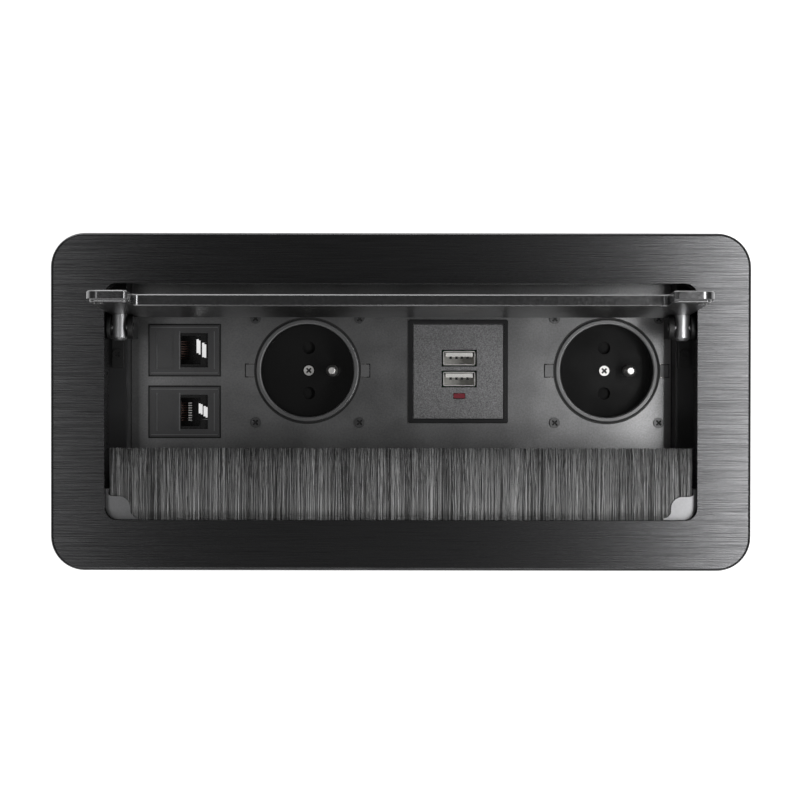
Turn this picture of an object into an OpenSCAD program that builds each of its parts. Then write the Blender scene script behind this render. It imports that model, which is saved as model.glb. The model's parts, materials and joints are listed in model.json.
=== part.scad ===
// Recessed desk power box with a flip lid: two earth-pin sockets, a twin USB
// charger and two data sockets on a sunken panel, under a framed opening with
// a brush cable outlet. Origin: bottom centre of the base cover, +Z up, the
// hinge along the rear (+Y) side. Drawn with the lid standing open.

/* [Desk plate] */
// Width of the opening in the plate
opening_w = 235.5; // [196:0.5:300]
// Front to back size of the opening
opening_d = 94.2; // [78:0.1:120]
// Corner radius of the opening
opening_r = 5; // [3:0.5:7]
// Plate left and right of the opening
side_border = 21.25; // [17:0.05:30]
// Plate in front of and behind the opening
front_border = 19.9; // [16:0.1:30]
// Thickness of the plate
plate_t = 3; // [2:0.1:4]
// Outer corner radius of the plate
plate_r = 13.5; // [8:0.5:16]
// Depth of the collar under the plate
collar_depth = 13; // [11:0.5:16]
// Wall of the collar
collar_wall = 1.8; // [1.5:0.1:2.4]
// Room under the front edge of the plate for the brush holder
brush_pocket = 3.5; // [3:0.1:5]

/* [Box] */
// Underside of the plate above the base
box_depth = 85; // [80:0.5:110]
// Wall of the steel box and its cover
sheet_t = 1.2; // [1:0.1:1.6]
// Depth of the socket panel below the top of the plate
panel_drop = 45; // [41:0.5:50]
// Thickness of the socket panel
panel_t = 1.5; // [1.2:0.1:2]
// Step from the opening's edge in to the end of the socket panel
panel_step = 6.25; // [5:0.25:8]
// Depth of the step that carries the hinges, below the plate's underside
ledge_drop = 25; // [23:0.5:28]

/* [Lid] */
// Thickness of the lid
lid_t = 4.4; // [4:0.1:5.5]
// Thickness of the rebate round the underside of the lid
rebate_t = 1.4; // [1:0.1:1.8]
// Inset of the rebate
rebate_in = 1.3; // [1:0.1:2]
// Hinge axis in from the rear edge of the opening
pivot_in = 17.3; // [17.3:0.1:20]
// Hinge axis below the inner face of the lid
pivot_drop = 4.9; // [4.6:0.1:6]
// Angle that the lid stands open at
open_angle = 92.5; // [88:0.5:94]
// How far the two ears reach past the free edge
ear_reach = 21.6; // [18:0.1:25]
// Width of an ear at its tip
ear_w = 15.5; // [14:0.1:18]
// Radius of the curves between ear and free edge
ear_curve = 3; // [2.5:0.1:4]
// Gap between lid and opening
lid_gap = 0.5; // [0.4:0.1:1]

/* [Hinge] */
// Diameter of a hinge post
post_d = 6; // [5:0.1:6.5]
// Middle of a hinge post in from the end of the opening
post_in = 5.25; // [5:0.05:6]
// Diameter of a hinge pin
pin_d = 3; // [2.5:0.1:3.5]
// Thickness of the inner cheek of a hinge bracket
cheek_t = 2; // [1.5:0.1:2.2]

/* [Brush] */
// Depth of the brush from the front edge of the opening
brush_reach = 28.8; // [22:0.1:34]
// Thickness of the bristles
brush_t = 1.5; // [1:0.1:2]
// Gap between the closed lid and the bristles
brush_under = 1.6; // [1.2:0.1:3]
// Size of a corner plate along the front
corner_w = 12.9; // [11:0.1:14]
// Size of a corner plate along the end
corner_d = 12.3; // [11:0.1:14]

/* [Mains sockets] */
// Outer diameter of the rim
rim_d = 42.8; // [42:0.1:44]
// Diameter of the recess
recess_d = 38.2; // [38:0.1:39]
// Depth of the recess below the rim
recess_depth = 15.5; // [15:0.1:16]
// Distance between the two contact holes
pin_pitch = 19; // [18.5:0.1:19.5]
// Diameter of a contact hole
hole_d = 5; // [4.9:0.1:5.4]
// Diameter of the earth pin
earth_d = 4.8; // [4.6:0.1:4.9]
// Length of the earth pin above the floor of the recess
earth_len = 14; // [13:0.1:14.5]
// Earth pin out from the line of the contact holes
earth_out = 10; // [9.5:0.1:10.5]
// Distance between the fixing screws
fixing_pitch = 43; // [42.5:0.1:43.5]
// Travel of the shutter
shutter_travel = 6; // [5.5:0.1:6.5]
// Middle of the sockets behind the middle of the opening
socket_y = 12.4; // [8:0.1:14]
// Free panel right of the right socket's tab
socket_edge = 0.9; // [0.5:0.1:6]

/* [USB charger] */
// Width of the charger's frame
usb_w = 41.2; // [40:0.1:42]
// Front to back size of the charger's frame
usb_d = 42.7; // [42:0.1:44]
// Middle of the charger behind the middle of the opening
usb_y = 12.1; // [8:0.1:14]
// Distance between the two ports
port_pitch = 8.6; // [8:0.1:9.5]

/* [Data sockets] */
// Width of a data bezel
data_w = 28.8; // [27:0.1:30]
// Front to back size of a data bezel
data_d = 20.5; // [19:0.1:22]
// Distance between the two data sockets
data_pitch = 25.5; // [23:0.1:28]
// Middle of the pair behind the middle of the opening
data_y = 8; // [4:0.1:12]
// Free panel left of the data bezels
data_edge = 7.6; // [2:0.1:12]

/* [Desk clamps] */
// Travel of a clamp screw
jack_travel = 17; // [10:0.5:17]
// Thickest desk top that the clamps take
desk_max = 35; // [28:0.5:38]
// Clamp screw out from the end of the opening
jack_out = 10.75; // [10:0.05:13]
// Diameter of a clamp screw
jack_d = 5; // [4:0.5:6]

/* [Mains inlet] */
// Bore of the cord gland
gland_bore = 7.4; // [6:0.1:9]
// Cord gland left of the middle of the opening
gland_x = -60; // [-70:1:-50]

/* [Hidden] */
$fn = 48;

// Gaps: face to face seats, screws in their holes, running fits and loose parts
seat_gap = 0.1;
screw_gap = 0.1;
pin_gap = 0.05;
loose_gap = 0.3;

// Levels
z_desk = box_depth;
z_top = z_desk + plate_t;
z_panel = z_top - panel_drop;
z_back = z_panel - panel_t;
z_ledge = z_desk - ledge_drop;

// Plan sizes
plate_w = opening_w + 2 * side_border;
plate_d = opening_d + 2 * front_border;
half_w = opening_w / 2;
half_d = opening_d / 2;
tray_half_w = half_w + collar_wall + seat_gap;
tray_rear = half_d + collar_wall + seat_gap;
tray_front = tray_rear + brush_pocket;
tray_d = tray_rear + tray_front;
tray_mid = (tray_rear - tray_front) / 2;
low_half_w = half_w - panel_step + loose_gap;
panel_w = 2 * (half_w - panel_step);
lip = 8;
tray_r = 2;
upper_r = opening_r + collar_wall + seat_gap;
// Groove in the underside of the plate for the rim of the box
rim_groove = 0.4;

// Places along the panel: the free width is shared out between the four modules
tab_reach = 4.2;
tab_w = 5.1;
socket_w = rim_d + 2 * tab_reach;
gap_share = [0.257, 0.382, 0.361];
free_w = panel_w - data_edge - data_w - 2 * socket_w - usb_w - socket_edge;
data_x = -panel_w / 2 + data_edge + data_w / 2;
left_x = data_x + data_w / 2 + gap_share[0] * free_w + socket_w / 2;
usb_x = left_x + socket_w / 2 + gap_share[1] * free_w + usb_w / 2;
right_x = panel_w / 2 - socket_edge - socket_w / 2;
data_ys = [data_y + data_pitch / 2, data_y - data_pitch / 2];

// Hinge
pivot_y = half_d - pivot_in;
pivot_z = z_top - lid_t - pivot_drop;
post_x = half_w - post_in;
cheek_gap = 0.5;
outer_cheek_t = 1.4;
inner_cheek = post_x - post_d / 2 - cheek_gap;
outer_cheek = post_x + post_d / 2 + cheek_gap;
cheek_r = pivot_drop - loose_gap;
cheek_back = 3.6;
cheek_front = 5.2;
base_t = 2;
foot_reach = 11;
foot_screw_x = half_w - 2.4;

// Sizes of screws: radius, head radius, head height
m3_r = 1.4;
m3_head_r = 2.6;
m3_head_h = 1.6;
small_r = 1.2;
small_head_r = 2.15;
small_head_h = 0.9;

// Sockets
rim_h = 0.8;
cup_wall = 1.3;
z_rim = z_panel + rim_h;
z_floor = z_rim - recess_depth;
floor_t = 2;
earth_shank_d = earth_d - 1;
z_cup = z_floor - floor_t;
cup_r = recess_d / 2 + cup_wall;
case_r = 19.5;
case_h = 14;
z_case = z_cup - case_h;
chamber_r = 3.3;
shutter_t = 1.2;
shutter_half = 3.2;
centre_screw_hold = 7;
yoke_t = 1.2;
yoke_leg = 1;

// USB charger
frame_h = 1.2;
face_w = usb_w - 3.9;
face_d = usb_d - 3.5;
skirt_t = 0.8;
skirt_depth = 10;
port_off_x = 0.4;
port_ys = [1.2 + port_pitch / 2, 1.2 - port_pitch / 2];
shell_w = 13.2;
shell_d = 5.8;
shell_t = 0.3;
z_face = z_panel + 1.4;
z_board = z_panel - 14.4;
board_t = 1.6;
z_usb = z_panel - 31;
led_y = -10.1;

// Data sockets
bezel_h = 1.6;
window_x = 3.9;
window_w = 11.6;
window_d = 14.2;
jack_w = 14.6;
jack_body_d = 16.2;
plug_w = 8.2;
plug_d = 11.8;
jack_depth = 14;
contact_pitch = 1.02;

// Clamps, inlet and wiring
clamp_t = 2;
jack_x = half_w + jack_out;
z_jaw = z_desk - desk_max;
jaw_t = 2;
jaw_r = 7;
arm_z = 28;
knob_r = 8;
knob_h = 6;
gland_z = 20;
gland_r = 8;
grommet_x = data_x;
grommet_r = 4;
wire_r = 1.1;
lane_y = tray_rear - 12;
lane_z = [9.2, 6.4, 3.8];
block_x = gland_x - 11;

// A rectangle with true arcs at its corners
module rounded(w, d, r) {
    square([w - 2 * r, d], center = true);
    square([w, d - 2 * r], center = true);
    for (sx = [-1, 1], sy = [-1, 1])
        translate([sx * (w / 2 - r), sy * (d / 2 - r)]) circle(r);
}

module rounded_box(w, d, h, r) {
    linear_extrude(h) rounded(w, d, r);
}

// A box given by its low corner and its high corner
module block(low, high) {
    translate(low) cube(high - low);
}

// The same thing at the right end and, mirrored, at the left end
module at_end(side) {
    if (side > 0) children();
    else mirror([1, 0, 0]) children();
}

// A cylinder along +X, +Y or a screw along +Z with its head above the origin
module along_x(r, len) {
    rotate([0, 90, 0]) cylinder(r = r, h = len);
}

module along_y(r, len) {
    rotate([-90, 0, 0]) cylinder(r = r, h = len);
}

module cross_recess(head_r, depth) {
    for (a = [45, 135])
        rotate([0, 0, a]) translate([-head_r * 0.62, -0.35, -depth]) cube([head_r * 1.24, 0.7, depth + 1]);
}

module pan_screw(r, len, head_r, head_h) {
    translate([0, 0, -len]) cylinder(r = r, h = len);
    difference() {
        cylinder(r = head_r, h = head_h);
        translate([0, 0, head_h]) cross_recess(head_r, head_h * 0.6);
    }
}

// Where the screws sit
frame_screw_xs = [-0.38, -0.13, 0.13, 0.38];
frame_screw_ys = [-18, 12];
frame_screw_z = z_desk - 8;
panel_screw_z = z_back - 5;
panel_screw_xs = [-0.4, 0, 0.4];
cover_screws = [for (sx = [-1, 0, 1], y = [-tray_front + lip / 2, tray_rear - lip / 2])
    [sx * (low_half_w - lip / 2), y]];

module frame_screw_places() {
    for (f = frame_screw_xs) {
        translate([f * opening_w, -tray_front - sheet_t, frame_screw_z]) rotate([90, 0, 0]) children();
        translate([f * opening_w, tray_rear + sheet_t, frame_screw_z]) rotate([-90, 0, 0]) children();
    }
    for (s = [-1, 1], y = frame_screw_ys)
        translate([s * (tray_half_w + sheet_t), y, frame_screw_z]) rotate([0, s * 90, 0]) children();
}

module panel_screw_places() {
    for (f = panel_screw_xs) {
        translate([f * panel_w, -tray_front - sheet_t, panel_screw_z]) rotate([90, 0, 0]) children();
        translate([f * panel_w, tray_rear + sheet_t, panel_screw_z]) rotate([-90, 0, 0]) children();
    }
}

module fixing_places() {
    for (x = [left_x, right_x], sx = [-1, 1], sy = [-1, 1])
        translate([x + sx * fixing_pitch / 2, socket_y + sy * fixing_pitch / 2, 0]) children();
}

// ---- Desk plate, box and cover ----

module collar_area(grow) {
    translate([0, -brush_pocket / 2])
        rounded(opening_w + 2 * grow, opening_d + brush_pocket + 2 * grow, opening_r + grow);
}

module flange_frame() {
    color([0.12, 0.12, 0.12]) difference() {
        union() {
            difference() {
                translate([0, 0, z_desk]) rounded_box(plate_w, plate_d, plate_t, plate_r);
                translate([0, tray_mid, z_desk - 1]) rounded_box(2 * (tray_half_w + sheet_t + seat_gap),
                    tray_d + 2 * (sheet_t + seat_gap), 1 + rim_groove, upper_r + sheet_t + seat_gap);
            }
            translate([0, 0, z_desk - collar_depth]) linear_extrude(collar_depth + 1) collar_area(collar_wall);
        }
        translate([0, 0, z_desk - collar_depth - 1]) linear_extrude(collar_depth + 1) collar_area(0);
        translate([0, 0, z_desk - 1]) rounded_box(opening_w, opening_d, plate_t + 2, opening_r);
        frame_screw_places() translate([0, 0, -sheet_t - seat_gap - collar_wall - 1])
            cylinder(r = m3_r + screw_gap, h = collar_wall + 2);
        for (s = [-1, 1]) corner_screw_place(s) translate([0, 0, -collar_wall - 2])
            cylinder(r = small_r + screw_gap, h = collar_wall + 2.5);
    }
}

module tray() {
    color([0.09, 0.09, 0.09]) difference() {
        union() {
            translate([0, tray_mid, z_ledge - sheet_t])
                rounded_box(2 * (tray_half_w + sheet_t), tray_d + 2 * sheet_t,
                    z_desk + rim_groove - z_ledge + sheet_t, upper_r + sheet_t);
            translate([0, tray_mid, sheet_t])
                rounded_box(2 * (low_half_w + sheet_t), tray_d + 2 * sheet_t, z_ledge, tray_r + sheet_t);
        }
        translate([0, tray_mid, z_ledge]) rounded_box(2 * tray_half_w, tray_d, z_desk, upper_r);
        translate([0, tray_mid, 2 * sheet_t]) rounded_box(2 * low_half_w, tray_d, z_ledge, tray_r);
        translate([0, tray_mid, 0]) rounded_box(2 * (low_half_w - lip), tray_d - 2 * lip, z_ledge, tray_r);
        frame_screw_places() translate([0, 0, -sheet_t - 1]) cylinder(r = m3_r + screw_gap, h = sheet_t + 2);
        panel_screw_places() translate([0, 0, -sheet_t - 1]) cylinder(r = m3_r + screw_gap, h = sheet_t + 2);
        for (p = cover_screws) translate([p[0], p[1], 0]) cylinder(r = m3_r + screw_gap, h = 3 * sheet_t);
        for (s = [-1, 1]) {
            clamp_screw_places(s) translate([0, 0, -sheet_t - 1]) cylinder(r = m3_r + screw_gap, h = sheet_t + 2);
            hinge_screw_place(s) translate([0, 0, -4]) cylinder(r = small_r + screw_gap, h = 5);
        }
        translate([gland_x, tray_rear - 1, gland_z]) along_y(gland_r + seat_gap, sheet_t + 2);
        translate([grommet_x, tray_rear - 1, gland_z]) along_y(grommet_r + 1.5 + seat_gap, sheet_t + 2);
    }
}

module base_cover() {
    color([0.09, 0.09, 0.09]) difference() {
        translate([0, tray_mid, 0])
            rounded_box(2 * (low_half_w + sheet_t), tray_d + 2 * sheet_t, sheet_t, tray_r + sheet_t);
        for (p = cover_screws) translate([p[0], p[1], 0]) {
            translate([0, 0, -1]) cylinder(r = m3_r + screw_gap, h = sheet_t + 2);
            translate([0, 0, -0.01]) cylinder(r1 = m3_head_r + screw_gap, r2 = m3_r + screw_gap, h = sheet_t);
        }
    }
}

module base_cover_screws() {
    color([0.6, 0.6, 0.62]) for (p = cover_screws) translate([p[0], p[1], 0]) {
        cylinder(r1 = m3_head_r, r2 = m3_r, h = sheet_t);
        translate([0, 0, sheet_t]) cylinder(r = m3_r, h = 3);
    }
}

module frame_screws() {
    color([0.15, 0.15, 0.15]) frame_screw_places()
        pan_screw(m3_r, sheet_t + seat_gap + collar_wall - 0.2, m3_head_r, m3_head_h);
    color([0.15, 0.15, 0.15]) for (s = [-1, 1]) clamp_screw_places(s) translate([0, 0, clamp_t])
        pan_screw(m3_r, clamp_t + sheet_t + 1.5, m3_head_r, m3_head_h);
}

// ---- Brush and corner plates ----

z_brush = z_top - lid_t - brush_under;
holder_half = half_w - opening_r - 0.3;
holder_low = 5;

module brush_holder() {
    color([0.2, 0.2, 0.2]) difference() {
        block([-holder_half, -half_d - brush_pocket + seat_gap, frame_screw_z - holder_low],
            [holder_half, -half_d - seat_gap, z_desk]);
        block([-holder_half - 1, -half_d - brush_pocket + 1, z_brush - brush_t - seat_gap],
            [holder_half + 1, -half_d + 1, z_brush + seat_gap]);
    }
}

module brush_bristles() {
    side = half_w - 1.35;
    color([0.33, 0.33, 0.33]) union() {
        block([-side, -half_d + 0.2, z_brush - brush_t], [side, -half_d + brush_reach, z_brush]);
        block([-holder_half, -half_d - brush_pocket + 1.1, z_brush - brush_t], [holder_half, -half_d + 1, z_brush]);
    }
}

// Outline of the right corner plate: corner at the origin, -X along the front, +Y along the end
module corner_outline() {
    fillet = 3.1;
    strip = 0.7;
    shoulder_x = corner_w - fillet;
    shoulder_y = corner_d - fillet;
    crown = 4.6;
    mirror([1, 0]) difference() {
        union() {
            square([shoulder_x, shoulder_y - crown]);
            square([shoulder_x - crown, shoulder_y]);
            translate([shoulder_x - crown, shoulder_y - crown]) circle(crown);
            square([fillet, corner_d]);
            square([corner_w, strip + fillet]);
        }
        translate([fillet, corner_d]) circle(fillet);
        translate([corner_w, strip + fillet]) circle(fillet);
    }
}

z_corner = z_brush + 0.2;
corner_t = 0.8;
corner_leg_t = 1;
corner_screw_y = -half_d + corner_d - 3.5;
corner_screw_z = z_corner - 6;

module corner_screw_place(side) {
    at_end(side) translate([half_w - seat_gap - corner_leg_t, corner_screw_y, corner_screw_z])
        rotate([0, 0, 0]) rotate([0, -90, 0]) children();
}

module corner_plate(side) {
    color([0.62, 0.62, 0.63]) at_end(side) {
        edge = half_w - seat_gap;
        difference() {
            union() {
                translate([0, 0, z_corner]) linear_extrude(corner_t) intersection() {
                    translate([edge, -half_d + seat_gap]) corner_outline();
                    rounded(2 * edge, opening_d - 2 * seat_gap, opening_r);
                }
                block([edge - corner_leg_t, -half_d + corner_d - 7, corner_screw_z - 2.6],
                    [edge, -half_d + corner_d, z_corner]);
            }
            translate([edge - corner_leg_t - 1, corner_screw_y, corner_screw_z])
                along_x(small_r + screw_gap, corner_leg_t + 2);
        }
    }
}

module corner_plate_left() { corner_plate(-1); }
module corner_plate_right() { corner_plate(1); }

module corner_plate_screws() {
    color([0.15, 0.15, 0.15]) for (s = [-1, 1])
        corner_screw_place(s) pan_screw(small_r, corner_leg_t + collar_wall - 0.1, small_head_r, small_head_h);
}

// ---- Socket panel ----

module data_cut(y) {
    translate([data_x, y]) square([data_w - 3, data_d - 3], center = true);
}

module socket_panel() {
    front = -tray_front + seat_gap;
    rear = tray_rear - seat_gap;
    turn_down = 9;
    color([0.1, 0.1, 0.1]) difference() {
        union() {
            translate([0, (front + rear) / 2, z_back]) rounded_box(panel_w, rear - front, panel_t, tray_r);
            block([-panel_w / 2 + 3, front, z_back - turn_down], [panel_w / 2 - 3, front + panel_t, z_back]);
            block([-panel_w / 2 + 3, rear - panel_t, z_back - turn_down], [panel_w / 2 - 3, rear, z_back]);
        }
        translate([0, 0, z_back - 1]) {
            for (x = [left_x, right_x]) translate([x, socket_y, 0]) {
                cylinder(r = cup_r + loose_gap, h = panel_t + 2);
                translate([0, 0, (panel_t + 2) / 2]) cube([socket_w + 2 * loose_gap, tab_w + 2 * loose_gap,
                    panel_t + 2], center = true);
            }
            linear_extrude(panel_t + 2) {
                translate([usb_x, usb_y]) square([face_w + 2 * skirt_t + 0.6, face_d + 2 * skirt_t + 0.6],
                    center = true);
                for (y = data_ys) data_cut(y);
            }
            fixing_places() cylinder(r = small_r + 2 * screw_gap, h = panel_t + 2);
        }
        panel_screw_places() translate([0, 0, -sheet_t - 4]) cylinder(r = m3_r + screw_gap, h = 6);
    }
}

module panel_screws() {
    color([0.15, 0.15, 0.15]) panel_screw_places()
        pan_screw(m3_r, sheet_t + seat_gap + panel_t + 1, m3_head_r, m3_head_h);
}

// ---- Mains sockets ----

module socket_cup(x) {
    color([0.03, 0.03, 0.03]) translate([x, socket_y, 0]) difference() {
        union() {
            translate([0, 0, z_cup]) cylinder(r = cup_r, h = z_rim - z_cup);
            translate([0, 0, z_panel]) cylinder(r = rim_d / 2, h = rim_h);
            translate([-socket_w / 2, -tab_w / 2, z_back]) cube([socket_w, tab_w, panel_t]);
        }
        translate([0, 0, z_floor]) cylinder(r = recess_d / 2, h = recess_depth + 1);
        for (s = [-1, 1]) translate([0, s * pin_pitch / 2, z_cup - 1]) cylinder(d = hole_d, h = floor_t + 2);
        translate([earth_out, 0, z_cup - 1]) cylinder(r = earth_shank_d / 2 + pin_gap, h = floor_t + 2);
        translate([0, 0, z_cup - 1]) cylinder(r = small_r + screw_gap, h = floor_t + 2);
    }
}

module socket_left_cup() { socket_cup(left_x); }
module socket_right_cup() { socket_cup(right_x); }

// Pocket that the shutter slides in, and the chambers of the contacts under it
module socket_rear_case(x) {
    slide = shutter_travel + shutter_half + 3.6;
    pocket = z_cup - shutter_t - 2 * loose_gap;
    color([0.75, 0.75, 0.72]) translate([x, socket_y, 0]) difference() {
        union() {
            difference() {
                translate([0, 0, z_case]) cylinder(r = case_r, h = case_h);
                block([-slide - loose_gap, -pin_pitch / 2 - shutter_half - loose_gap, pocket],
                    [shutter_half + loose_gap, pin_pitch / 2 + shutter_half + loose_gap, z_cup + 1]);
            }
            translate([0, 0, pocket - 1]) cylinder(r = 2.6, h = z_cup - pocket + 1 - seat_gap);
        }
        for (s = [-1, 1]) translate([0, s * pin_pitch / 2, z_case + 1.5]) cylinder(r = chamber_r, h = case_h);
        translate([earth_out, 0, z_case + 1.5]) cylinder(r = earth_shank_d / 2 + pin_gap, h = case_h);
        translate([0, 0, z_cup - centre_screw_hold - 1]) cylinder(r = small_r + screw_gap, h = case_h);
    }
}

module socket_left_rear_case() { socket_rear_case(left_x); }
module socket_right_rear_case() { socket_rear_case(right_x); }

module socket_earth_pin(x) {
    color([0.8, 0.8, 0.78]) translate([x + earth_out, socket_y, 0]) {
        nose = 1.2;
        translate([0, 0, z_case + 2]) cylinder(d = earth_shank_d, h = z_floor - z_case - 1);
        translate([0, 0, z_floor]) cylinder(d = earth_d, h = earth_len - nose);
        translate([0, 0, z_floor + earth_len - nose]) cylinder(d1 = earth_d, d2 = earth_d - 2, h = nose);
    }
}

module socket_left_earth_pin() { socket_earth_pin(left_x); }
module socket_right_earth_pin() { socket_earth_pin(right_x); }

module socket_contacts(x) {
    sleeve_r = chamber_r - seat_gap;
    sleeve_h = case_h - 1.6 - shutter_t - 3 * loose_gap;
    color([0.8, 0.65, 0.3]) for (s = [-1, 1]) translate([x, socket_y + s * pin_pitch / 2, z_case + 1.6]) difference() {
        cylinder(r = sleeve_r, h = sleeve_h);
        translate([0, 0, 1]) cylinder(r = 2.4, h = sleeve_h);
        translate([0, -0.4, 2]) cube([sleeve_r + 1, 0.8, sleeve_h]);
    }
}

module socket_left_contacts() { socket_contacts(left_x); }
module socket_right_contacts() { socket_contacts(right_x); }

module socket_shutter(x) {
    color([0.05, 0.05, 0.05]) translate([x, socket_y, z_cup - loose_gap - shutter_t]) {
        reach = pin_pitch / 2 + shutter_half;
        inner = pin_pitch / 2 - shutter_half;
        for (s = [-1, 1]) translate([-shutter_half, s > 0 ? inner : -reach, 0])
            cube([2 * shutter_half, 2 * shutter_half, shutter_t]);
        translate([-shutter_half - 3, -reach, 0]) cube([3, 2 * reach, shutter_t]);
    }
}

module socket_left_shutter() { socket_shutter(left_x); }
module socket_right_shutter() { socket_shutter(right_x); }

module socket_yoke(x) {
    leg_at = cup_r + loose_gap;
    half = fixing_pitch / 2 + 2.9;
    color([0.65, 0.65, 0.67]) translate([x, socket_y, 0]) difference() {
        union() {
            block([-half, -half, z_back - yoke_t], [half, half, z_back]);
            for (s = [-1, 1]) {
                translate([-5, s > 0 ? leg_at : -leg_at - yoke_leg, z_case - seat_gap - yoke_leg])
                    cube([10, yoke_leg, z_back - z_case]);
                translate([-5, s > 0 ? leg_at - 6 : -leg_at - yoke_leg, z_case - seat_gap - yoke_leg])
                    cube([10, 6 + yoke_leg, yoke_leg]);
            }
        }
        translate([0, 0, z_back - yoke_t - 1]) cylinder(r = cup_r + loose_gap, h = yoke_t + 2);
        for (sx = [-1, 1], sy = [-1, 1])
            translate([sx * fixing_pitch / 2, sy * fixing_pitch / 2, z_back - yoke_t - 1])
                cylinder(r = small_r + screw_gap, h = yoke_t + 2);
    }
}

module socket_left_yoke() { socket_yoke(left_x); }
module socket_right_yoke() { socket_yoke(right_x); }

module socket_fixing_screws() {
    color([0.1, 0.1, 0.1]) translate([0, 0, z_panel]) fixing_places()
        pan_screw(small_r, panel_t + yoke_t + 2, small_head_r, small_head_h);
}

module socket_centre_screws() {
    color([0.7, 0.7, 0.72]) for (x = [left_x, right_x]) translate([x, socket_y, z_floor])
        pan_screw(small_r, floor_t + centre_screw_hold, small_head_r, 1.1);
}

// ---- Data sockets ----

module data_bezel(y) {
    color([0.12, 0.12, 0.12]) translate([data_x, y, 0]) difference() {
        union() {
            translate([0, 0, z_panel]) rounded_box(data_w, data_d, bezel_h, 0.6);
            translate([0, 0, z_back - 4]) linear_extrude(4 + panel_t)
                square([data_w - 3 - 2 * seat_gap, data_d - 3 - 2 * seat_gap], center = true);
        }
        translate([window_x, 0, z_back - 5]) linear_extrude(20) square([window_w, window_d], center = true);
        translate([window_x, 0, z_back - 5]) linear_extrude(4 + panel_t + bezel_h)
            square([jack_w + 2 * seat_gap, jack_body_d + 2 * seat_gap], center = true);
        translate([-8.1, 0, z_panel + bezel_h - 0.5]) linear_extrude(1) square([7.2, 15], center = true);
        translate([-8.4, 0, z_back - 5]) linear_extrude(4 + panel_t) square([7, 14], center = true);
    }
}

module data_upper_bezel() { data_bezel(data_ys[0]); }
module data_lower_bezel() { data_bezel(data_ys[1]); }

z_jack_top = z_panel - 0.1 + 0.6 - seat_gap;
plug_x = -1.4;
latch_w = 3;
latch_d = 6.2;

module data_jack(y) {
    color([0.05, 0.05, 0.05]) translate([data_x + window_x, y, 0]) difference() {
        block([-jack_w / 2, -jack_body_d / 2, z_panel - 23], [jack_w / 2, jack_body_d / 2, z_jack_top]);
        translate([plug_x, 0, z_jack_top - jack_depth]) linear_extrude(jack_depth + 1)
            square([plug_w, plug_d], center = true);
        translate([plug_x + plug_w / 2 + latch_w / 2 - 0.1, 0, z_jack_top - jack_depth + 3])
            linear_extrude(jack_depth) square([latch_w, latch_d], center = true);
    }
}

module data_upper_jack() { data_jack(data_ys[0]); }
module data_lower_jack() { data_jack(data_ys[1]); }

// Eight springs that slope in from the left wall of the plug space
module data_contacts(y) {
    wall = plug_x - plug_w / 2;
    top = z_jack_top - 2.5;
    color([0.85, 0.68, 0.3]) for (i = [0:7])
        translate([data_x + window_x + wall, y + (i - 3.5) * contact_pitch + 0.2, 0]) rotate([90, 0, 0])
            linear_extrude(0.4) polygon([[0, top], [0, top - 0.9], [2.2, top - 10], [2.6, top - 10]]);
}

module data_upper_contacts() { data_contacts(data_ys[0]); }
module data_lower_contacts() { data_contacts(data_ys[1]); }

// ---- USB charger ----

module usb_frame() {
    color([0.04, 0.04, 0.04]) translate([usb_x, usb_y, 0]) difference() {
        union() {
            translate([0, 0, z_panel]) rounded_box(usb_w, usb_d, frame_h, 0.8);
            translate([0, 0, z_panel - skirt_depth]) linear_extrude(skirt_depth)
                square([face_w + 2 * skirt_t, face_d + 2 * skirt_t], center = true);
        }
        translate([0, 0, z_panel - skirt_depth - 1]) linear_extrude(skirt_depth + 4)
            square([face_w, face_d], center = true);
    }
}

module usb_face() {
    color([0.25, 0.25, 0.25]) translate([usb_x, usb_y, 0]) difference() {
        translate([0, 0, z_face - 2.2]) linear_extrude(2.2)
            square([face_w - 2 * seat_gap, face_d - 2 * seat_gap], center = true);
        for (py = port_ys) translate([port_off_x, py, z_face - 3]) linear_extrude(4)
            square([shell_w + 1.2, shell_d + 1], center = true);
        translate([port_off_x, led_y, z_face - 3]) linear_extrude(4) square([4.9, 2.2], center = true);
    }
}

module usb_shell(py) {
    bottom = z_board + board_t;
    color([0.78, 0.78, 0.8]) translate([usb_x + port_off_x, usb_y + py, 0]) difference() {
        translate([0, 0, bottom]) rounded_box(shell_w, shell_d, z_face - 0.2 - bottom, 0.6);
        translate([0, 0, bottom + 1]) linear_extrude(20)
            square([shell_w - 2 * shell_t, shell_d - 2 * shell_t], center = true);
    }
}

module usb_upper_shell() { usb_shell(port_ys[0]); }
module usb_lower_shell() { usb_shell(port_ys[1]); }

module usb_tongues() {
    low = z_board + board_t + 1;
    color([0.9, 0.9, 0.88]) for (py = port_ys) translate([usb_x + port_off_x, usb_y + py, low]) {
        translate([-5.6, 0.55, 0]) cube([11.2, 1.7, z_face - 1.2 - low]);
    }
}

module usb_indicator() {
    color([0.5, 0.05, 0.05]) translate([usb_x + port_off_x, usb_y + led_y, 0]) {
        translate([0, 0, z_face - 3]) linear_extrude(3.1) square([4.7, 2], center = true);
        translate([0, 0, z_board + board_t]) cylinder(r = 0.9, h = z_face - 3 - z_board - board_t);
    }
}

module usb_board() {
    board_w = face_w + 2 * skirt_t - 2 * sheet_t - 0.6;
    board_d = face_d + 2 * skirt_t - 2 * sheet_t - 0.6;
    color([0.1, 0.35, 0.15]) translate([usb_x, usb_y, 0]) {
        translate([-board_w / 2, -board_d / 2, z_board]) cube([board_w, board_d, board_t]);
        translate([-9, -12, z_board - 10]) cube([14, 12, 10]);
        translate([8, 4, z_board - 9]) cylinder(r = 4, h = 9);
    }
}

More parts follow.
